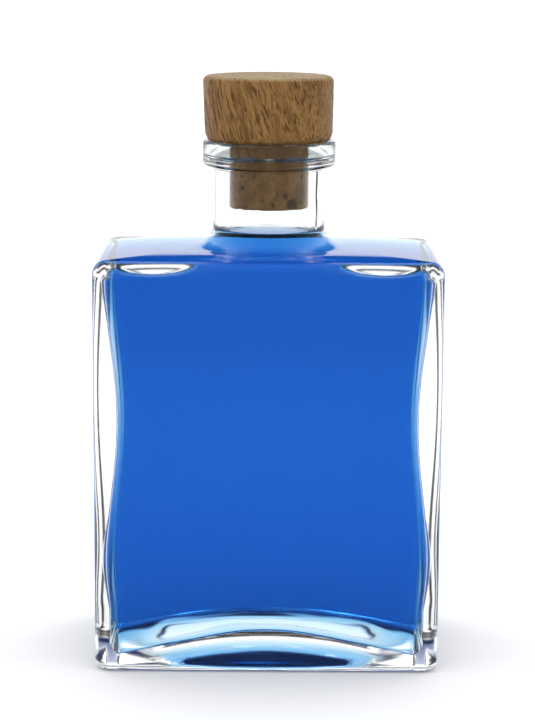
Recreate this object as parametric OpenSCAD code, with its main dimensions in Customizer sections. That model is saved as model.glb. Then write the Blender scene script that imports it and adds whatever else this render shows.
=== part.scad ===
// Rectangular glass bottle, filled, closed by a wooden head on a cork shank.
// Origin: centre of the base, on the surface that the bottle stands on.
// +Z is up, X runs along the width, and the front face looks towards -Y.

/* [Glass body] */
// Width of the body
body_w = 81.5; // [70:0.5:95]
// Depth of the body, front to back
body_d = 48; // [42:1:60]
// Height of the shoulder above the base
shoulder_z = 99; // [80:1:130]
// Radius of the body's edges
edge_r = 3.4; // [2:0.1:5]
// Thickness of the side walls
side_wall = 4.2; // [3:0.1:6]
// Thickness of the front and back walls
face_wall = 3.8; // [3:0.1:6]
// Thickness of the shoulder at the foot of the neck
shoulder_wall = 3.5; // [3:0.1:5]
// How far the inside of the shoulder drops from the neck to the corners
shoulder_drop = 2.5; // [1:0.1:4]
// Thickness of the base in its corners
base_corner = 2.4; // [2:0.1:4]
// Height of the crown of the domed floor inside
dome_z = 10.5; // [8:0.1:14]
// Radius of the domed floor inside
dome_r = 95; // [85:1:120]

/* [Underside] */
// Length of the hollow under the base
punt_w = 54; // [50:1:66]
// Width of the hollow under the base
punt_d = 40; // [24:1:40]
// Height of the hollow under the base
punt_h = 2.6; // [1:0.1:3.5]
// Width of the small flat at the top of that hollow
punt_flat = 4; // [2:1:10]

/* [Neck and mouth] */
// Radius of the neck outside
neck_r = 13.3; // [12.5:0.1:14]
// Radius of the fillet between the neck and the shoulder
neck_fillet = 5.4; // [2:0.1:6]
// Radius of the bore that holds the cork
bore_r = 9.45; // [9.25:0.05:9.75]
// Height of the lip's rim above the base
rim_z = 124.2; // [115:0.1:150]
// Radius of the lip outside
lip_r = 15.8; // [15.5:0.1:17]
// Height of the lip
lip_h = 6.2; // [5:0.1:8]
// Radius of the lip's lower edge
lip_edge = 1.4; // [0.8:0.1:1.8]
// Wall of the lip round the countersunk mouth
rim_wall = 1.4; // [1.2:0.1:1.8]
// Depth of the countersunk mouth
cup_depth = 4; // [3.2:0.1:4.5]
// Radius of the rounded corner in the countersunk mouth
cup_corner = 3; // [2:0.1:3]

/* [Contents] */
// Height of the liquid's surface above the base
fill_z = 102.4; // [101:0.1:106]
// Space left between the liquid and the glass
liquid_gap = 0.05; // [0.02:0.01:0.1]

/* [Stopper] */
// Radius of the wooden head
head_r = 15.5; // [14.5:0.1:15.7]
// Height of the wooden head
head_h = 16.5; // [12:0.5:22]
// Radius of the head's lower edge, which sits in the mouth
head_bottom_edge = 3.7; // [3.5:0.1:3.9]
// Radius of the head's upper edge
head_top_edge = 1; // [0.5:0.1:2]
// How far the head's underside sits below the rim
head_sink = 1.35; // [1.2:0.05:1.35]
// Depth of the socket for the cork in the head
socket_depth = 1.6; // [1:0.1:3]
// Space round the cork in that socket
socket_gap = 0.15; // [0.1:0.05:0.3]
// Thickness of the film of glue
glue_t = 0.15; // [0.1:0.05:0.3]
// Space between the cork and the bore
cork_gap = 0.05; // [0.03:0.01:0.1]
// Height of the cork's lower end above the base
cork_z = 108.4; // [104:0.1:114]
// Chamfer round the cork's lower end
cork_chamfer = 0.6; // [0.3:0.1:1.5]

/* [Hidden] */

// Facets of turned work, and of the balls that round the moulded body
$fn = 96;
ball_fn = 32;
punt_fn = 48;
// Levels that make up the hollow under the base
punt_steps = 5;
// How far a cutter runs past the face it cuts
over = 1;

inside_w = body_w - 2 * side_wall;
inside_d = body_d - 2 * face_wall;
inside_top = shoulder_z - shoulder_wall;
foot_r = 2.5;
inner_low_r = 4;
inner_high_r = 6;
flare_r = 4;
cup_r = lip_r - rim_wall;
cup_z = rim_z - cup_depth;
mouth_chamfer = 0.6;
head_z = rim_z - head_sink;
socket_z = head_z + socket_depth;
cork_r = bore_r - cork_gap;
cork_top = socket_z - glue_t;

glass_colour = [0.86, 0.93, 0.92, 0.35];
liquid_colour = [0.05, 0.27, 0.78];
beech_colour = [0.52, 0.36, 0.2];
cork_colour = [0.42, 0.33, 0.22];
glue_colour = [0.85, 0.78, 0.6];

// Puts a copy of its child in each of the four corners of a w by d rectangle.
module corners(w, d) {
    for (x = [-w / 2, w / 2], y = [-d / 2, d / 2]) translate([x, y]) children();
}

// A box centred on the axis, between two heights.
module block(w, d, low, high) {
    translate([-w / 2, -d / 2, low]) cube([w, d, high - low]);
}

// The outside of the moulded body: flat faces, rounded edges.
module body_outside() {
    hull() {
        block(body_w, body_d - 2 * edge_r, edge_r, shoulder_z - edge_r);
        block(body_w - 2 * edge_r, body_d, edge_r, shoulder_z - edge_r);
        block(body_w - 2 * foot_r, body_d - 2 * foot_r, 0, foot_r);
        block(body_w - 2 * edge_r, body_d - 2 * edge_r, foot_r, shoulder_z);
        translate([0, 0, foot_r])
            corners(body_w - 2 * foot_r, body_d - 2 * foot_r) sphere(foot_r, $fn = ball_fn);
        translate([0, 0, shoulder_z - edge_r])
            corners(body_w - 2 * edge_r, body_d - 2 * edge_r) sphere(edge_r, $fn = ball_fn);
    }
}

// The space inside the body, shrunk all round by gap. Its roof rises to the neck.
module body_inside(gap = 0) {
    w = inside_w - 2 * gap;
    d = inside_d - 2 * gap;
    low = base_corner + gap;
    high = inside_top - shoulder_drop - gap;
    difference() {
        hull() {
            translate([0, 0, low + inner_low_r])
                corners(w - 2 * inner_low_r, d - 2 * inner_low_r)
                    sphere(inner_low_r, $fn = ball_fn);
            translate([0, 0, high - inner_high_r])
                corners(w - 2 * inner_high_r, d - 2 * inner_high_r)
                    sphere(inner_high_r, $fn = ball_fn);
            translate([0, 0, inside_top - gap - over])
                cylinder(r = bore_r + flare_r - gap, h = over, $fn = ball_fn);
        }
        translate([0, 0, dome_z + gap - dome_r]) sphere(dome_r);
    }
}

// The neck with its lip, turned, down into the shoulder.
module neck_outside() {
    fillet_r = neck_r + neck_fillet;
    lip_z = rim_z - lip_h;
    rim_round = rim_wall / 2;
    rotate_extrude() {
        translate([0, inside_top]) square([neck_r, rim_z - rim_round - inside_top]);
        difference() {
            translate([0, shoulder_z - over]) square([fillet_r, neck_fillet + over]);
            translate([fillet_r, shoulder_z + neck_fillet]) circle(neck_fillet);
        }
        translate([0, lip_z]) square([lip_r - lip_edge, lip_h - rim_round]);
        translate([0, lip_z + lip_edge]) square([lip_r, lip_h - lip_edge - rim_round]);
        translate([lip_r - lip_edge, lip_z + lip_edge]) circle(lip_edge);
        translate([lip_r - rim_round, rim_z - rim_round]) circle(rim_round);
    }
}

// The bore for the cork, flared into the body, and the countersunk mouth.
module bore() {
    flare_z = inside_top - over;
    rotate_extrude() {
        translate([0, flare_z]) square([bore_r, cup_z - flare_z + over]);
        difference() {
            translate([0, flare_z]) square([bore_r + flare_r, flare_r]);
            translate([bore_r + flare_r, flare_z + flare_r]) circle(flare_r);
        }
        polygon([
            [0, cup_z - mouth_chamfer], [bore_r, cup_z - mouth_chamfer],
            [bore_r + mouth_chamfer, cup_z], [0, cup_z]
        ]);
        translate([0, cup_z]) square([cup_r - cup_corner, cup_depth + over]);
        translate([0, cup_z + cup_corner]) square([cup_r, cup_depth - cup_corner + over]);
        translate([cup_r - cup_corner, cup_z + cup_corner]) circle(cup_corner);
    }
}

// The oval hollow under the base: a shallow dome, steepest round its rim.
module punt() {
    hull() for (i = [0:punt_steps]) {
        down = i / punt_steps;
        translate([0, 0, -over]) linear_extrude(punt_h * (1 - down * down) + over)
            scale([punt_w / punt_d, 1])
                circle((punt_flat + (punt_d - punt_flat) * down) / 2, $fn = punt_fn);
    }
}

module glass_bottle() {
    color(glass_colour) difference() {
        union() {
            body_outside();
            neck_outside();
        }
        body_inside();
        bore();
        punt();
    }
}

module liquid() {
    flare_z = inside_top - over - liquid_gap;
    flare = flare_r + liquid_gap;
    column_r = bore_r - liquid_gap;
    color(liquid_colour) {
        body_inside(liquid_gap);
        rotate_extrude() {
            translate([0, flare_z - over]) square([column_r, fill_z - flare_z + over]);
            difference() {
                translate([0, flare_z]) square([column_r + flare, flare]);
                translate([column_r + flare, flare_z + flare]) circle(flare);
            }
        }
    }
}

// The turned head: a socket below for the cork, and a rounded lower edge that sits in the mouth.
module stopper_head() {
    color(beech_colour) translate([0, 0, head_z]) rotate_extrude() difference() {
        union() {
            square([head_r - head_bottom_edge, head_h]);
            translate([0, head_bottom_edge])
                square([head_r, head_h - head_bottom_edge - head_top_edge]);
            translate([head_r - head_bottom_edge, head_bottom_edge]) circle(head_bottom_edge);
            translate([0, head_h - 2 * head_top_edge])
                square([head_r - head_top_edge, 2 * head_top_edge]);
            translate([head_r - head_top_edge, head_h - head_top_edge]) circle(head_top_edge);
        }
        translate([0, -over]) square([cork_r + socket_gap, socket_depth + over]);
        translate([-2 * head_r, -over]) square([2 * head_r, head_h + 2 * over]);
    }
}

// The cork shank, chamfered below so that it starts into the bore.
module cork_shank() {
    color(cork_colour) rotate_extrude() polygon([
        [0, cork_z], [cork_r - cork_chamfer, cork_z], [cork_r, cork_z + cork_chamfer],
        [cork_r, cork_top], [0, cork_top]
    ]);
}

// The film of glue between the cork and the floor of the head's socket.
module glue_film() {
    color(glue_colour) translate([0, 0, cork_top]) cylinder(r = cork_r, h = glue_t);
}

glass_bottle();
liquid();
stopper_head();
cork_shank();
glue_film();
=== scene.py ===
"""Looks of the filled glass bottle with its wood-topped cork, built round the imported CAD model."""

import math

import bpy
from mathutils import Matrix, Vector, noise


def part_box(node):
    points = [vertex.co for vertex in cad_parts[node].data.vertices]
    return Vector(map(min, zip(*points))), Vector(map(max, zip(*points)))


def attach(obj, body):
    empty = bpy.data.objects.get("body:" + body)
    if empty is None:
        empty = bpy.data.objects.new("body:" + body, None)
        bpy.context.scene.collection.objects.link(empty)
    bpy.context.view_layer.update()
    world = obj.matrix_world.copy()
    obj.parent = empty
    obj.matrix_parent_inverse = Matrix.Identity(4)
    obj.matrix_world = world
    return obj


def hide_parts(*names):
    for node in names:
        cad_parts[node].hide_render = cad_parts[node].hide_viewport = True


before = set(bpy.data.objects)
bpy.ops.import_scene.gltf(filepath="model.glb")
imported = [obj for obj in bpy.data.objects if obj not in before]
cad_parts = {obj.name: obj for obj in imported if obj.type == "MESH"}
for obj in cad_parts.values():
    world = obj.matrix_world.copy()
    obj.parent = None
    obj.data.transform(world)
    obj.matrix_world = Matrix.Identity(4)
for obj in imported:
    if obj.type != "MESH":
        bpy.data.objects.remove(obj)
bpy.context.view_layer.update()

MM = 0.001

# ---------------------------------------------------------------- sizes, in metres
glass_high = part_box("glass_bottle")[1]
liquid_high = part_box("liquid")[1]
head_low, head_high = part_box("stopper_head")
cork_low, cork_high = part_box("cork_shank")

HALF_W = glass_high.x
HALF_D = glass_high.y
RIM_Z = glass_high.z
FILL_Z = liquid_high.z
CORK_R = cork_high.x
HEAD_R = head_high.x
HEAD_BOTTOM_EDGE = 3.7 * MM
HEAD_TOP_EDGE = 1.4 * MM
HEAD_TAPER = 0.022  # how much narrower the head gets towards its lower end
HEAD_WANDER = 0.003  # how much its sides wander in and out, in waves of this size
HEAD_WANDER_SIZE = 7 * MM
HEAD_OFFSET_TOP = -0.25 * MM  # how far off centre the head sits along X, at its top and bottom
HEAD_OFFSET_BOTTOM = -0.1 * MM
SOCKET_R = CORK_R + 0.15 * MM
SOCKET_Z = head_low.z + 1.6 * MM

SHOULDER_Z = 99.0 * MM
EDGE_R = 3.4 * MM  # rounding of the shoulder's edges
CORNER_R = 3.7 * MM  # rounding of the upright edges
FOOT_R = 2.5 * MM
NECK_R = 13.3 * MM
NECK_FILLET = 5.0 * MM
BORE_R = 9.45 * MM
LIP_R = 15.8 * MM
LIP_H = 6.2 * MM
LIP_EDGE = 1.4 * MM
LIP_ROOT = 0.6 * MM  # fillet between the neck and the underside of the lip
RIM_WALL = 1.4 * MM
CUP_DEPTH = 4.0 * MM
CUP_CORNER = 1.0 * MM
MOUTH_ROUND = 0.8 * MM  # rounding of the edge between the cup and the bore
FLARE_R = 5.8 * MM

SIDE_WALL = 4.1 * MM
FACE_WALL = 3.8 * MM
WALL_WAVE = 1.25 * MM  # how much the side walls thicken and thin along their height
WAVE_LENGTH = 68 * MM
WAVE_CREST_Z = 60 * MM
FACE_WAVE = 0.35  # the front and back walls wave this much as strongly, a little out of step
FACE_PHASE = 0.6
INNER_CORNER_R = 2.6 * MM

FLOOR_CROWN_Z = 10.4 * MM
FLOOR_REACH = 30 * MM  # where the floor is FLOOR_FALL lower along X than its crown
FLOOR_FALL = 3.3 * MM
FLOOR_TILT = 0.18  # slope of the floor, which is higher along the front
WALL_STEEPNESS = 5  # power by which the floor then drops towards the front and back walls
FRONT_FALL = 5.1 * MM  # how far the floor drops to the front wall
FRONT_FALL_ENDS = 1.4 * MM  # what is added to that from ENDS_X outwards
ENDS_X = 24 * MM
BACK_FALL = 3.0 * MM  # how far the floor drops to the back wall, out to BACK_FALL_X
BACK_FALL_X = 34 * MM
LEAST_BASE = 2.0 * MM  # thinnest that the base gets
FLOOR_FILLET = 1.8 * MM  # between the floor and the walls
FLOOR_RIPPLE = 0.16 * MM  # height of the floor's fine waves, which are long along X
RIPPLE_X = 12 * MM
RIPPLE_Y = 3.5 * MM
ROOF_Z = 96.5 * MM
ROOF_FILLET = 4.4 * MM
ROOF_FILLET_TIGHT = 1.5 * MM  # at TIGHT_X, where the roof also bulges down by ROOF_BULGE
ROOF_BULGE = 1.9 * MM
TIGHT_X = 27 * MM
TIGHT_REACH = 27 * MM  # how far along X from there the roof is even again
SEAM_BEARING = math.radians(-32.5)  # of one of the neck's two ridges; the other is opposite
SEAM_H = 0.22 * MM
SEAM_SPREAD = 0.022  # half width of a ridge, as a bearing in radians
SEAM_WANDER = 0.01  # how far a ridge strays sideways, likewise in radians
SEAM_WAVE = 1.4 * MM
PUNT_H = 2.75 * MM  # the oval hollow under the base
PUNT_HALF_W = 27 * MM
PUNT_HALF_D = 20 * MM
SHOULDER_CROWN = 0.9 * MM  # how far the shoulder falls from the neck to its edges

MENISCUS_H = 0.5 * MM  # how far the liquid climbs the bore's wall
MENISCUS_REACH = 1.2 * MM
FILM = 0.02 * MM  # clearance between the liquid's skin and the glass
SKIN = 0.1 * MM  # thickness of the liquid's top skin
SHARP = 0.3 * MM  # smallest corner radius of an outline


# ---------------------------------------------------------------- helpers
def smoothstep(t):
    t = min(max(t, 0.0), 1.0)
    return t * t * (3 - 2 * t)


def mix(a, b, t):
    return a + (b - a) * t


def parts(count):
    """The fractions that end the equal parts of 1: the first is above 0 and the last is 1."""
    return [i / count for i in range(1, count + 1)]


def arc(steps, start, end):
    """Angles in degrees from start to end, both included, as (cosine, sine)."""
    for i in range(steps + 1):
        a = math.radians(mix(start, end, i / steps))
        yield math.cos(a), math.sin(a)


def outline(a, b, c, per_corner=10, on_front=64, on_side=40):
    """Points of a rounded rectangle with half sides a and b and corner radius c.

    They start at +X and go round to it again. Every outline has the same number of points in the
    same order, so that rings can be joined."""
    points = []
    quarters = (
        (a - c, b - c, 0, on_front, (-1, 0)),
        (-(a - c), b - c, 90, on_side, (0, -1)),
        (-(a - c), -(b - c), 180, on_front, (1, 0)),
        (a - c, -(b - c), 270, on_side, (0, 1)),
    )
    for cx, cy, start, on_straight, (dx, dy) in quarters:
        for co, si in arc(per_corner, start, start + 90):
            points.append((cx + c * co, cy + c * si))
        length = 2 * (a - c) if dx else 2 * (b - c)
        x0, y0 = points[-1]
        for i in range(1, on_straight):
            s = length * i / on_straight
            points.append((x0 + dx * s, y0 + dy * s))
    return points


BODY_OUTLINE = outline(HALF_W, HALF_D, CORNER_R)
BEARINGS = [math.atan2(y, x) for x, y in BODY_OUTLINE]


def circle(r):
    return [(r * math.cos(t), r * math.sin(t)) for t in BEARINGS]


def seamed(r, z):
    """A circle with the two ridges where the halves of the mould met."""
    ring = []
    for t in BEARINGS:
        across = math.remainder(t - SEAM_BEARING - SEAM_WANDER * math.sin(z / SEAM_WAVE), math.pi)
        ridge = SEAM_H * math.exp(-((across / SEAM_SPREAD) ** 2))
        ring.append(((r + ridge) * math.cos(t), (r + ridge) * math.sin(t)))
    return ring


def blended(ring_a, ring_b, t):
    return [(mix(p[0], q[0], t), mix(p[1], q[1], t)) for p, q in zip(ring_a, ring_b)]


def at_height(ring, z):
    return [(x, y, z) for x, y in ring]


def loft(name, rings, first_pole, last_pole, slots, smooth_angle=50):
    """A closed mesh through the rings, capped by a fan to a point at each end.

    slots gives the material index of the band that starts at each ring."""
    count = len(rings[0])
    verts = [first_pole] + [p for ring in rings for p in ring] + [last_pole]
    faces, indices = [], []
    for k in range(count):
        n = (k + 1) % count
        faces.append((0, 1 + n, 1 + k))
        indices.append(slots[0])
    for r in range(len(rings) - 1):
        base, above = 1 + r * count, 1 + (r + 1) * count
        for k in range(count):
            n = (k + 1) % count
            faces.append((base + k, base + n, above + n, above + k))
            indices.append(slots[r])
    base, end = 1 + (len(rings) - 1) * count, len(verts) - 1
    for k in range(count):
        n = (k + 1) % count
        faces.append((base + k, base + n, end))
        indices.append(slots[-1])
    mesh = bpy.data.meshes.new(name)
    mesh.from_pydata(verts, [], faces)
    mesh.polygons.foreach_set("material_index", indices)
    mesh.polygons.foreach_set("use_smooth", [True] * len(faces))
    mesh.set_sharp_from_angle(angle=math.radians(smooth_angle))
    mesh.update()
    piece = bpy.data.objects.new(name, mesh)
    bpy.context.scene.collection.objects.link(piece)
    return piece


# ---------------------------------------------------------------- the glass and its contents
def side_wave(z, phase=0.0):
    """How much thicker a side wall is at height z than on average."""
    return WALL_WAVE * math.cos(math.tau * (z - WAVE_CREST_Z) / WAVE_LENGTH + phase)


def cavity_outline(z, inset):
    """The inside of the body at height z, drawn in by inset."""
    a = HALF_W - SIDE_WALL - side_wave(z) - inset
    b = HALF_D - FACE_WALL - FACE_WAVE * side_wave(z, FACE_PHASE) - inset
    return a, b, INNER_CORNER_R - inset


def floor_z(x, y):
    """The domed floor inside the body: a plateau that falls away steeply along the walls."""
    crown = FLOOR_CROWN_Z - FLOOR_FALL * (x / FLOOR_REACH) ** 2 - FLOOR_TILT * y
    if y < 0:
        fall = FRONT_FALL + FRONT_FALL_ENDS * smoothstep(abs(x) / ENDS_X)
    else:
        fall = BACK_FALL * max(0.0, 1 - (x / BACK_FALL_X) ** 2)
    ripple = FLOOR_RIPPLE * noise.noise(Vector((x / RIPPLE_X, y / RIPPLE_Y, 0.0)))
    fall *= (abs(y) / (HALF_D - FACE_WALL)) ** WALL_STEEPNESS
    return max(crown + ripple - fall, LEAST_BASE)


def cove(distance, radius):
    """Height of a quarter round at a distance from the wall that it meets."""
    reach = min(max(radius - distance, 0.0), radius)
    return radius - math.sqrt(radius * radius - reach * reach)


def wall_distance(x, y, a, b, c):
    """Distance from a point inside a rounded rectangle to its edge."""
    dx, dy = a - abs(x), b - abs(y)
    if dx < c and dy < c:
        return c - math.hypot(c - dx, c - dy)
    return min(dx, dy)


def roof_z(x, y, a, b, c, bore_r):
    """The inside of the shoulder, which sweeps up into the bore and down into the walls."""
    flare = cove(math.hypot(x, y) - bore_r, FLARE_R)
    even = smoothstep(abs(abs(x) - TIGHT_X) / TIGHT_REACH)
    fillet = mix(ROOF_FILLET_TIGHT, ROOF_FILLET, even)
    bulge = mix(ROOF_BULGE, 0.0, even)
    return ROOF_Z - bulge + flare - cove(wall_distance(x, y, a, b, c), fillet)


def cavity_rings(inset):
    """Rings of the wetted inside, from the liquid's edge down to the middle of the floor.

    Returned with them is the point in the middle of the floor."""
    rings = []
    bore_r = BORE_R - inset
    top = FILL_Z + MENISCUS_H
    flare_top = ROOF_Z + FLARE_R - inset
    for i in range(5):
        rings.append(at_height(circle(bore_r), mix(top, flare_top, i / 4)))
    wall_top = ROOF_Z - ROOF_FILLET
    a, b, c = cavity_outline(wall_top, inset)
    coves = []
    for co, _ in list(arc(14, 180, 235))[1:]:
        coves.append(circle(bore_r + FLARE_R + FLARE_R * co))
    flare_foot = coves[-1]
    wall_coves = []
    for co, _ in arc(12, 50, 0):
        pull = ROOF_FILLET * (1 - co)
        wall_coves.append(outline(a - pull, b - pull, max(c - pull, SHARP)))
    for t in parts(12)[:-1]:
        coves.append(blended(flare_foot, wall_coves[0], t))
    for ring in coves + wall_coves:
        rings.append([(x, y, roof_z(x, y, a, b, c, bore_r) - inset) for x, y in ring])
    low = FLOOR_CROWN_Z + FLOOR_FILLET + 2 * MM
    starts = [z for _, _, z in rings[-1]]
    for t in parts(44):
        a, b, c = cavity_outline(mix(wall_top, low, t), inset)
        ring = zip(outline(a, b, c), starts)
        rings.append([(x, y, mix(start, low, t)) for (x, y), start in ring])
    edge = outline(a, b, c)
    for t in parts(8):
        rings.append([(x, y, mix(low, floor_z(x, y) + inset + FLOOR_FILLET, t)) for x, y in edge])
    for t in parts(8):
        angle = math.radians(90) * t
        pull = FLOOR_FILLET * (1 - math.cos(angle))
        ring = outline(a - pull, b - pull, max(c - pull, SHARP))
        rise = inset + FLOOR_FILLET * (1 - math.sin(angle))
        rings.append([(x, y, floor_z(x, y) + rise) for x, y in ring])
    rim = outline(a - FLOOR_FILLET, b - FLOOR_FILLET, max(c - FLOOR_FILLET, SHARP))
    for t in parts(32)[:-1]:
        s = 1 - t
        rings.append([(x * s, y * s, floor_z(x * s, y * s) + inset) for x, y in rim])
    return rings, (0.0, 0.0, floor_z(0, 0) + inset)


def outer_rings():
    """Rings of the dry glass: the underside, the outside, the lip and the bore down to the liquid.

    Returned with them is the point at the top of the hollow under the base."""
    rings = []
    foot_a, foot_b = HALF_W - FOOT_R, HALF_D - FOOT_R
    foot = outline(foot_a, foot_b, CORNER_R - FOOT_R)

    def under(x, y):
        return PUNT_H * max(0.0, 1 - (x / PUNT_HALF_W) ** 2 - (y / PUNT_HALF_D) ** 2)

    for s in parts(24):
        rings.append([(x * s, y * s, under(x * s, y * s)) for x, y in foot])
    for co, si in list(arc(8, -90, 0))[1:]:
        pull = FOOT_R * (1 - co)
        ring = outline(HALF_W - pull, HALF_D - pull, CORNER_R - pull)
        rings.append(at_height(ring, FOOT_R + FOOT_R * si))
    edge_z = SHOULDER_Z - SHOULDER_CROWN - EDGE_R
    for t in parts(12):
        rings.append(at_height(BODY_OUTLINE, mix(FOOT_R, edge_z, t)))
    for co, si in list(arc(10, 0, 90))[1:]:
        pull = EDGE_R * (1 - co)
        ring = outline(HALF_W - pull, HALF_D - pull, CORNER_R - pull)
        rings.append(at_height(ring, edge_z + EDGE_R * si))
    edge = outline(HALF_W - EDGE_R, HALF_D - EDGE_R, CORNER_R - EDGE_R)
    fillet_r = NECK_R + NECK_FILLET
    for t in parts(14):
        ring = blended(edge, circle(fillet_r), t)
        rings.append(at_height(ring, SHOULDER_Z - SHOULDER_CROWN * (1 - t) ** 2))
    for co, si in list(arc(10, 270, 180))[1:]:
        ring = circle(fillet_r + NECK_FILLET * co)
        rings.append(at_height(ring, SHOULDER_Z + NECK_FILLET * (1 + si)))
    lip_z = RIM_Z - LIP_H
    root = LIP_ROOT
    for t in parts(25):
        z = mix(SHOULDER_Z + NECK_FILLET, lip_z - root, t)
        rings.append(at_height(seamed(NECK_R, z), z))
    for co, si in list(arc(4, 180, 90))[1:]:
        rings.append(at_height(circle(NECK_R + root + root * co), lip_z - root + root * si))
    for co, si in arc(8, 270, 360):
        ring = circle(LIP_R - LIP_EDGE + LIP_EDGE * co)
        rings.append(at_height(ring, lip_z + LIP_EDGE + LIP_EDGE * si))
    rim_r = RIM_WALL / 2
    for co, si in arc(12, 0, 180):
        rings.append(at_height(circle(LIP_R - rim_r + rim_r * co), RIM_Z - rim_r + rim_r * si))
    cup_z, cup_r = RIM_Z - CUP_DEPTH, LIP_R - RIM_WALL
    for co, si in arc(10, 0, -90):
        ring = circle(cup_r - CUP_CORNER + CUP_CORNER * co)
        rings.append(at_height(ring, cup_z + CUP_CORNER + CUP_CORNER * si))
    mouth = MOUTH_ROUND
    for co, si in arc(6, 90, 180):
        rings.append(at_height(circle(BORE_R + mouth + mouth * co), cup_z - mouth + mouth * si))
    for t in parts(8):
        rings.append(at_height(circle(BORE_R), mix(cup_z - mouth, FILL_Z + MENISCUS_H, t)))
    return rings, (0.0, 0.0, under(0, 0))


def build_glass():
    dry, under_pole = outer_rings()
    wet, floor_pole = cavity_rings(0.0)
    rings = dry + wet[1:]
    slots = [0] * (len(dry) - 1) + [1] * len(wet)
    return loft("glass", rings, under_pole, floor_pole, slots)


def surface_rings(drop=0.0):
    """Rings of the liquid's surface, from its middle to the bore, where it climbs the glass."""
    rings = []
    bore_r = BORE_R - FILM
    for i in range(1, 25):
        r = bore_r * i / 24
        climb = MENISCUS_H * math.exp(-(bore_r - r) / MENISCUS_REACH)
        rings.append(at_height(circle(r), FILL_Z + climb - drop))
    return rings


def build_liquid():
    """The dyed liquid, up to just under its surface."""
    wet, floor_pole = cavity_rings(FILM)
    surface = surface_rings(SKIN)
    rings = list(reversed(wet[1:])) + list(reversed(surface))
    slots = [0] * len(rings)
    return loft("contents", rings, floor_pole, (0.0, 0.0, FILL_Z - SKIN), slots, smooth_angle=40)


def build_surface():
    """The top skin of the liquid: bent light above it, nothing below it but the same liquid."""
    above = surface_rings()
    below = surface_rings(SKIN - FILM)
    rings = below + list(reversed(above))
    slots = [0] * (len(below) - 1) + [1] * (len(above) + 1)
    poles = (0.0, 0.0, FILL_Z - SKIN + FILM), (0.0, 0.0, FILL_Z)
    return loft("liquid_surface", rings, *poles, slots, smooth_angle=40)


# ---------------------------------------------------------------- the stopper
def turned(name, profile, first_z, last_z, shape, count=220):
    """A turned piece: a ring for each radius and height of the profile.

    Each point is passed through shape."""
    rings = []
    for r, z in profile:
        bearings = [math.tau * k / count for k in range(count)]
        rings.append([shape(r * math.cos(t), r * math.sin(t), z) for t in bearings])
    ends = (0.0, 0.0, first_z), (0.0, 0.0, last_z)
    return loft(name, rings, *ends, [0] * (len(rings) + 1), smooth_angle=60)


def straight(start, end, steps):
    """Points after start, up to and including end."""
    (r0, z0), (r1, z1) = start, end
    return [(mix(r0, r1, i / steps), mix(z0, z1, i / steps)) for i in range(1, steps + 1)]


def hand_sanded(x, y, z):
    """A turned head is never quite round or true: it narrows below and sits a little off centre.

    The socket keeps its shape."""
    low = smoothstep(1 - (z - head_low.z) / (head_high.z - head_low.z))
    outer = smoothstep((math.hypot(x, y) - SOCKET_R) / (3 * MM))
    wander = noise.noise(Vector((x, y, z)) / HEAD_WANDER_SIZE)
    scale = 1 - outer * (HEAD_TAPER * low + HEAD_WANDER * (1 + wander))
    offset = outer * mix(HEAD_OFFSET_TOP, HEAD_OFFSET_BOTTOM, low)
    return x * scale + offset, y * scale, z


def build_head():
    low, high, edge = head_low.z, head_high.z, HEAD_BOTTOM_EDGE
    profile = [(SOCKET_R * i / 6, SOCKET_Z) for i in range(1, 7)]
    profile += straight(profile[-1], (SOCKET_R, low), 4)
    profile += straight(profile[-1], (HEAD_R - edge, low), 4)
    for co, si in list(arc(12, -90, 0))[1:]:
        profile.append((HEAD_R - edge * (1 - co), low + edge * (1 + si)))
    profile += straight(profile[-1], (HEAD_R, high - HEAD_TOP_EDGE), 18)
    for co, si in list(arc(8, 0, 90))[1:]:
        profile.append((HEAD_R - HEAD_TOP_EDGE * (1 - co), high - HEAD_TOP_EDGE * (1 - si)))
    profile += straight(profile[-1], (0.4 * MM, high), 16)
    return turned("wooden_head", profile, SOCKET_Z, high, hand_sanded)


# Pits in the cork: bearing in degrees, height above its lower end, radius and depth in millimetres.
PITS = (
    (-128, 5.2, 0.55, 0.7),
    (-57, 1.2, 1.5, 0.9),
    (-68, 3.4, 0.8, 0.5),
    (-100, 2.2, 0.4, 0.4),
    (-88, 9.5, 0.5, 0.4),
    (20, 6.0, 0.9, 0.6),
    (75, 3.0, 1.2, 0.8),
    (140, 8.0, 0.7, 0.6),
    (185, 2.0, 1.0, 0.7),
)
CRUMB_REACH = 1.6  # how far up the cork its crumbled end goes, in millimetres
CRUMB_DEPTH = 0.55  # likewise
CORK_CHAMFER = 0.5 * MM


def worn(x, y, z):
    """Cork is cut from bark: it has pits, and its lower end crumbles."""
    height = (z - cork_low.z) / MM
    r = math.hypot(x, y)
    scale = 1.0
    for bearing, pit_height, radius, depth in PITS:
        turn = math.remainder(math.atan2(y, x) - math.radians(bearing), math.tau)
        away = math.hypot(turn * CORK_R / MM, height - pit_height) / radius
        scale -= depth * MM / CORK_R * math.exp(-(away**4)) * smoothstep(r / CORK_R)
    grain = noise.noise(Vector((x, y, z)) / (0.9 * MM))
    scale -= 0.008 * max(grain, 0.0)
    end = max(0.0, 1 - height / CRUMB_REACH)
    flat = Vector((x, y, 0.0))
    crumb = noise.noise(flat / (1.3 * MM)) + 0.5 * noise.noise(flat / (0.5 * MM))
    return x * scale, y * scale, z + end * CRUMB_DEPTH * MM * max(crumb, 0.0)


def build_cork():
    low, high, chamfer = cork_low.z, cork_high.z, CORK_CHAMFER
    profile = [((CORK_R - chamfer) * i / 14, low) for i in range(1, 15)]
    profile += straight(profile[-1], (CORK_R, low + chamfer), 3)
    profile += straight(profile[-1], (CORK_R, high), 56)
    profile += straight(profile[-1], (0.4 * MM, high), 8)
    return turned("cork", profile, low, high, worn)


# ---------------------------------------------------------------- materials
def new_material(name):
    material = bpy.data.materials.new(name)
    material.use_nodes = True
    tree = material.node_tree
    return material, tree, tree.nodes["Principled BSDF"]


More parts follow.
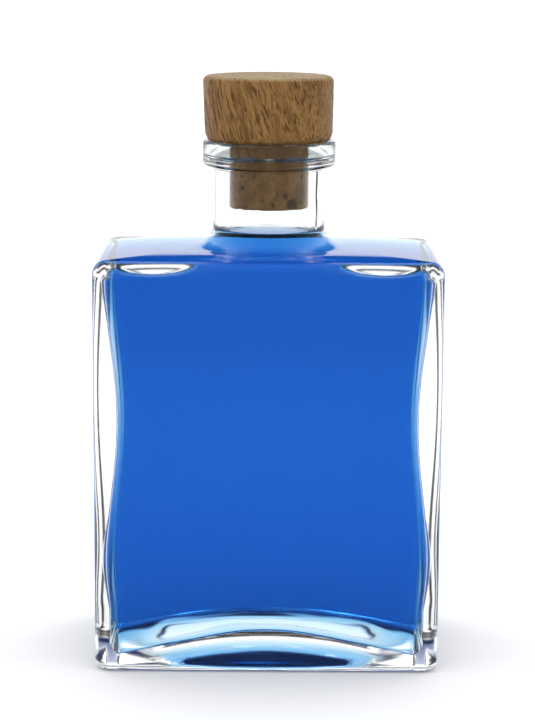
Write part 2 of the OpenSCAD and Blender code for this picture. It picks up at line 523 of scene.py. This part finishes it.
GLASS_IOR = 1.5
LIQUID_IOR = 1.333
BLUE_DYE = (130.0, 59.0, 19.0)  # what the dye absorbs per metre in red, green and blue
GLARE = 0.2  # strength of the reflections seen square on
GLASS_TINT = (0.915, 0.93, 0.922)
GLASS_ROUGHNESS = 0.075  # softens the outlines seen through the glass


def clear(name, ior, tint=(1, 1, 1), roughness=0.0):
    material, tree, shader = new_material(name)
    shader.inputs["Base Color"].default_value = (*tint, 1)
    shader.inputs["Roughness"].default_value = roughness
    shader.inputs["IOR"].default_value = ior
    shader.inputs["Transmission Weight"].default_value = 1.0
    shader.inputs["Specular Tint"].default_value = (GLARE, GLARE, GLARE, 1)
    return material, tree, shader


def absorbing(material, tree, per_metre):
    """Colours the inside of a clear material, by what it absorbs per metre in red, green and blue."""
    volume = tree.nodes.new("ShaderNodeVolumeAbsorption")
    density = max(per_metre)
    volume.inputs["Color"].default_value = (*[1 - s / density for s in per_metre], 1)
    volume.inputs["Density"].default_value = density
    tree.links.new(volume.outputs["Volume"], tree.nodes["Material Output"].inputs["Volume"])
    return material


def plain(name, colour, roughness):
    material, _, shader = new_material(name)
    shader.inputs["Base Color"].default_value = (*colour, 1)
    shader.inputs["Roughness"].default_value = roughness
    return material


class Graph:
    """Short names for building a material's nodes."""

    def __init__(self, name):
        self.material, self.tree, self.shader = new_material(name)
        self.place = self.add("ShaderNodeTexCoord").outputs["Object"]

    def add(self, kind, settings=None, **sockets):
        node = self.tree.nodes.new(kind)
        for key, value in (settings or {}).items():
            setattr(node, key, value)
        for key, value in sockets.items():
            socket = node.inputs[key.replace("_", " ")]
            if isinstance(value, bpy.types.NodeSocket):
                self.tree.links.new(value, socket)
            else:
                socket.default_value = value
        return node

    def stretched(self, place, grain, turn=(0, 0, 0)):
        """Coordinates in grains of the given size in millimetres, after a turn in degrees."""
        bearing = [math.radians(angle) for angle in turn]
        turned_place = self.add("ShaderNodeMapping", Vector=place, Rotation=bearing)
        scale = [1 / (size * MM) for size in grain]
        return self.add("ShaderNodeMapping", Vector=turned_place.outputs[0], Scale=scale).outputs[0]

    def noise(self, place, detail=2.0, roughness=0.5):
        settings = {"Scale": 1.0, "Detail": detail, "Roughness": roughness}
        return self.add("ShaderNodeTexNoise", Vector=place, **settings).outputs[0]

    def spots(self, place):
        return self.add("ShaderNodeTexVoronoi", Vector=place, Scale=1.0).outputs["Distance"]

    def ramp(self, value, low, high, to_low=0.0, to_high=1.0):
        settings = {"interpolation_type": "SMOOTHSTEP"}
        span = {"From_Min": low, "From_Max": high, "To_Min": to_low, "To_Max": to_high}
        return self.add("ShaderNodeMapRange", settings, Value=value, **span).outputs[0]

    def maths(self, operation, a, b):
        node = self.add("ShaderNodeMath", {"operation": operation})
        for socket, value in zip(node.inputs, (a, b)):
            if isinstance(value, bpy.types.NodeSocket):
                self.tree.links.new(value, socket)
            else:
                socket.default_value = value
        return node.outputs[0]

    def blend(self, factor, colour_a, colour_b):
        node = self.add("ShaderNodeMix", {"data_type": "RGBA"}, Factor=factor)
        for socket, value in ((node.inputs[6], colour_a), (node.inputs[7], colour_b)):
            if isinstance(value, bpy.types.NodeSocket):
                self.tree.links.new(value, socket)
            else:
                socket.default_value = (*value, 1)
        return node.outputs[2]

    def warped(self, place, size, reach):
        """Coordinates that wander by about reach, in millimetres, in waves of the given size."""
        grain = self.stretched(place, (size, size, size))
        waves = self.add("ShaderNodeTexNoise", Vector=grain, Scale=1.0)
        centred = self.add("ShaderNodeVectorMath", {"operation": "SUBTRACT"})
        self.tree.links.new(waves.outputs["Color"], centred.inputs[0])
        centred.inputs[1].default_value = (0.5, 0.5, 0.5)
        scaled = self.add("ShaderNodeVectorMath", {"operation": "SCALE"}, Scale=reach * MM)
        self.tree.links.new(centred.outputs[0], scaled.inputs[0])
        moved = self.add("ShaderNodeVectorMath", {"operation": "ADD"})
        self.tree.links.new(place, moved.inputs[0])
        self.tree.links.new(scaled.outputs[0], moved.inputs[1])
        return moved.outputs[0]

    def finish(self, colour, roughness, height, depth):
        bump = self.add("ShaderNodeBump", Height=height, Strength=1.0, Distance=depth * MM)
        inputs = {"Base Color": colour, "Roughness": roughness, "Normal": bump.outputs[0]}
        for name, value in inputs.items():
            self.tree.links.new(value, self.shader.inputs[name])
        return self.material


BEECH_DARK = (0.152, 0.077, 0.022)
BEECH_PALE = (0.276, 0.149, 0.048)
BEECH_FLECK = (0.08, 0.035, 0.011)
# The pale colour that upward faces are lightened towards: a painted highlight for the light from
# above, not dust.
BEECH_TOP_HIGHLIGHT = (0.42, 0.32, 0.17)


def beech():
    """Beech: warm brown, with short dark flecks along a slightly slanted grain; paler on top, where a
    painted highlight stands in for the light from above.
    """
    g = Graph("beech")
    place = g.warped(g.place, 16, 3.5)
    slant = (6, 17, 0)
    streaks = g.noise(g.stretched(place, (1.6, 1.6, 30), slant), 2.0)
    fibres = g.noise(g.stretched(place, (0.2, 0.2, 3.5), slant), 2.0)
    patches = g.noise(g.stretched(place, (4, 4, 6), slant), 1.0)
    grooves = g.noise(g.stretched(place, (0.46, 0.46, 8.0), slant), 1.0)
    small_flecks = g.spots(g.stretched(place, (0.4, 0.8, 3.2), slant))
    fleck = g.ramp(grooves, 0.555, 0.63)
    fleck = g.maths("MULTIPLY", fleck, g.ramp(patches, 0.34, 0.56, 0.3, 1.0))
    small = g.ramp(small_flecks, 0.15, 0.4, 0.7, 0.0)
    dark = g.maths("MAXIMUM", fleck, small)
    tone = g.maths("ADD", g.maths("MULTIPLY", streaks, 0.5), g.maths("MULTIPLY", fibres, 0.5))
    wood = g.blend(g.ramp(tone, 0.34, 0.66), BEECH_DARK, BEECH_PALE)
    colour = g.blend(g.maths("MULTIPLY", dark, 0.9), wood, BEECH_FLECK)
    facing = g.add("ShaderNodeSeparateXYZ", Vector=g.add("ShaderNodeNewGeometry").outputs["Normal"])
    # Painted highlight: faces that point up are lightened towards a pale colour, less on the dark
    # flecks, standing in for the light from above and its sheen.
    upward = g.ramp(facing.outputs["Z"], 0.4, 0.95)
    painted_top_highlight = g.maths("MULTIPLY", upward, g.ramp(dark, 0.0, 1.0, 0.6, 0.3))
    colour = g.blend(painted_top_highlight, colour, BEECH_TOP_HIGHLIGHT)
    roughness = g.ramp(dark, 0.0, 1.0, 0.42, 0.7)
    height = g.maths("SUBTRACT", g.maths("MULTIPLY", fibres, 0.3), dark)
    g.shader.inputs["Specular IOR Level"].default_value = 0.12
    return g.finish(colour, roughness, height, 0.12)


CORK_DARK = (0.15, 0.076, 0.025)
CORK_PALE = (0.31, 0.17, 0.056)
CORK_CHANNEL = (0.06, 0.03, 0.012)
CORK_PIT = (0.05, 0.022, 0.012)


def cork_bark():
    """Cork: fine dull grains, darker channels and pits."""
    g = Graph("natural_cork")
    place = g.warped(g.place, 4, 1.2)
    grains = g.noise(g.stretched(place, (0.5, 0.5, 0.5)), 3.0, 0.65)
    clouds = g.noise(g.stretched(place, (3.5, 3.5, 5)), 2.0)
    channels = g.spots(g.stretched(place, (1.6, 1.6, 4.2), (0, 12, 0)))
    channel = g.ramp(channels, 0.08, 0.26, 1.0, 0.0)
    tone = g.maths("ADD", g.maths("MULTIPLY", grains, 0.5), g.maths("MULTIPLY", clouds, 0.5))
    bark = g.blend(g.ramp(tone, 0.36, 0.64), CORK_DARK, CORK_PALE)
    bark = g.blend(g.maths("MULTIPLY", channel, 0.75), bark, CORK_CHANNEL)
    split = g.add("ShaderNodeSeparateXYZ", Vector=g.place).outputs
    squares = [g.maths("POWER", split[axis], 2.0) for axis in "XY"]
    radius = g.maths("SQRT", g.maths("ADD", *squares), 0.0)
    pitted = g.ramp(radius, CORK_R - 0.6 * MM, CORK_R - 0.15 * MM, 0.75, 0.0)
    pitted = g.maths("MULTIPLY", pitted, g.ramp(split["Z"], cork_low.z, cork_low.z + 0.5 * MM))
    colour = g.blend(pitted, bark, CORK_PIT)
    roughness = g.ramp(grains, 0.3, 0.7, 0.75, 0.92)
    height = g.maths("SUBTRACT", grains, channel)
    g.shader.inputs["Specular IOR Level"].default_value = 0.2
    return g.finish(colour, roughness, height, 0.15)


def dried_glue():
    """A thin film of wood glue, cloudy where it dried thick."""
    g = Graph("wood_glue")
    clouds = g.noise(g.stretched(g.place, (2.5, 2.5, 2.5)), 3.0)
    ripples = g.noise(g.stretched(g.place, (0.6, 0.6, 0.6)), 2.0)
    colour = g.blend(g.ramp(clouds, 0.35, 0.65), (0.62, 0.5, 0.3), (0.8, 0.72, 0.52))
    return g.finish(colour, g.ramp(ripples, 0.3, 0.7, 0.25, 0.5), ripples, 0.03)


# ---------------------------------------------------------------- pieces
def put(piece, body, slot, replaced, *materials):
    """Gives a piece its materials and its body, and hides the CAD node that it stands for. slot is
    not used.
    """
    for material in materials:
        piece.data.materials.append(material)
    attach(piece, body)
    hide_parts(replaced)


# The glass bends light by its own index where it is dry, and by its index over the liquid's where
# it is wetted. The liquid bends it only at its surface, and its body does nothing but absorb.
dyed = absorbing(*clear("dyed_liquid", 1.0)[:2], BLUE_DYE)
dry_glass = clear("clear_glass", GLASS_IOR, GLASS_TINT, GLASS_ROUGHNESS)[0]
wetted_glass = clear("wetted_glass", GLASS_IOR / LIQUID_IOR, roughness=GLASS_ROUGHNESS)[0]
liquid_top = clear("liquid_top", LIQUID_IOR)[0]
liquid_within = clear("liquid_within", 1.0)[0]
put(build_glass(), "bottle", "clear_glass", "glass_bottle", dry_glass, wetted_glass)
put(build_liquid(), "bottle", "blue_liquid", "liquid", dyed)
put(build_surface(), "bottle", "blue_liquid", "liquid", liquid_within, liquid_top)

put(build_head(), "stopper", "beech", "stopper_head", beech())
put(build_cork(), "stopper", "natural_cork", "cork_shank", cork_bark())
for material_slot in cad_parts["glue_film"].material_slots:
    material_slot.material = dried_glue()


# ---------------------------------------------------------------- stage, light and camera
FLOOR_SIZE = 60
FLOOR_GAP = 0.03 * MM  # air under the bearing rim
FLOOR_WHITE = (0.94, 0.94, 0.94)


def build_stage():
    bpy.ops.mesh.primitive_plane_add(size=FLOOR_SIZE)
    floor = bpy.context.object
    floor.name = "floor"
    floor.location.z = -FLOOR_GAP
    floor.data.materials.append(plain("floor_white", FLOOR_WHITE, 0.9))


# Strength of the room's light, from the horizon up and from in front of the bottle to behind it.
ROOM_BY_HEIGHT = (1.0, 1.8)
ROOM_BY_DEPTH = (0.65, 1.2)
# The dim gap behind: where it fades in and out, as parts of the unit direction that is looked in.
GAP_BOTTOM = (0.26, 0.36)
GAP_TOP = (0.6, 0.75)
GAP_BACK = (0.2, 0.45)
GAP_SIDE = (0.35, 0.55)
GAP_DEPTH = 0.95  # how much dimmer the gap is than the rest
GAP_TINT = (0.16, 0.3, 1.0)
WHITE = (1, 1, 1)


def build_world():
    world = bpy.data.worlds.new("studio")
    bpy.context.scene.world = world
    world.use_nodes = True
    tree = world.node_tree
    nodes, links = tree.nodes, tree.links
    light = nodes["Background"]
    direction = nodes.new("ShaderNodeTexCoord").outputs["Generated"]
    split = nodes.new("ShaderNodeSeparateXYZ")
    links.new(direction, split.inputs["Vector"])

    def ramp(axis, low, high, to_low, to_high):
        node = nodes.new("ShaderNodeMapRange")
        node.interpolation_type = "SMOOTHSTEP"
        links.new(split.outputs[axis], node.inputs["Value"])
        span = {"From Min": low, "From Max": high, "To Min": to_low, "To Max": to_high}
        for key, value in span.items():
            node.inputs[key].default_value = value
        return node.outputs["Result"]

    def maths(operation, a, b):
        node = nodes.new("ShaderNodeMath")
        node.operation = operation
        links.new(a, node.inputs[0])
        links.new(b, node.inputs[1])
        return node.outputs["Value"]

    # A white room, lighter above, with a dim gap between the backdrop and the light overhead.
    by_height = ramp("Z", 0.0, 1.0, *ROOM_BY_HEIGHT)
    room = maths("MULTIPLY", by_height, ramp("Y", -1.0, 1.0, *ROOM_BY_DEPTH))
    inner, outer = GAP_SIDE
    gap = maths("MULTIPLY", ramp("Z", *GAP_BOTTOM, 0.0, 1.0), ramp("Z", *GAP_TOP, 1.0, 0.0))
    gap = maths("MULTIPLY", gap, ramp("Y", *GAP_BACK, 0.0, GAP_DEPTH))
    gap = maths("MULTIPLY", gap, ramp("X", -outer, -inner, 0.0, 1.0))
    gap = maths("MULTIPLY", gap, ramp("X", inner, outer, 1.0, 0.0))
    dimmed = nodes.new("ShaderNodeMath")
    dimmed.operation = "SUBTRACT"
    dimmed.inputs[0].default_value = 1.0
    links.new(gap, dimmed.inputs[1])
    strength = maths("MULTIPLY", room, dimmed.outputs["Value"])
    links.new(strength, light.inputs["Strength"])
    tint = nodes.new("ShaderNodeMix")
    tint.data_type = "RGBA"
    links.new(gap, tint.inputs[0])
    tint.inputs[6].default_value = (*WHITE, 1)
    tint.inputs[7].default_value = (*GAP_TINT, 1)
    links.new(tint.outputs[2], light.inputs["Color"])
    # The camera itself sees a plain white backdrop.
    backdrop = nodes.new("ShaderNodeBackground")
    backdrop.inputs["Color"].default_value = (*WHITE, 1)
    seen = nodes.new("ShaderNodeLightPath").outputs["Is Camera Ray"]
    either = nodes.new("ShaderNodeMixShader")
    links.new(seen, either.inputs["Fac"])
    links.new(light.outputs["Background"], either.inputs[1])
    links.new(backdrop.outputs["Background"], either.inputs[2])
    links.new(either.outputs["Shader"], nodes["World Output"].inputs["Surface"])


GLOW_WATTS = 3.5
GLOW_PLACE = Vector((0.0, 0.42, 0.7))
GLOW_AIM = Vector((0.0, 0.19, 0.0))


def build_glow():
    """A soft pool of light on the floor behind the bottle, which shows through the liquid."""
    glow = bpy.data.objects.new("glow", bpy.data.lights.new("glow", "SPOT"))
    bpy.context.scene.collection.objects.link(glow)
    glow.data.energy = GLOW_WATTS
    glow.data.spot_size = math.radians(34)
    glow.data.spot_blend = 1.0
    glow.data.shadow_soft_size = 0.08
    glow.location = GLOW_PLACE
    glow.rotation_euler = (GLOW_AIM - GLOW_PLACE).to_track_quat("-Z", "Y").to_euler()


CAMERA_PLACE = (-0.0001, -0.5223, 0.1706)
CAMERA_DOWN = 10.8  # how far the camera looks down, in degrees
CAMERA_LEFT = 0.35  # how far it is turned to the left


def build_camera():
    camera = bpy.data.objects.new("camera", bpy.data.cameras.new("camera"))
    bpy.context.scene.collection.objects.link(camera)
    camera.data.lens = 110
    camera.location = CAMERA_PLACE
    camera.rotation_mode = "ZYX"
    camera.rotation_euler = (math.radians(90 - CAMERA_DOWN), 0, math.radians(CAMERA_LEFT))
    camera.data.clip_start = 0.01
    bpy.context.scene.camera = camera


build_stage()
build_world()
build_glow()
build_camera()
bpy.context.scene.view_settings.view_transform = "Standard"
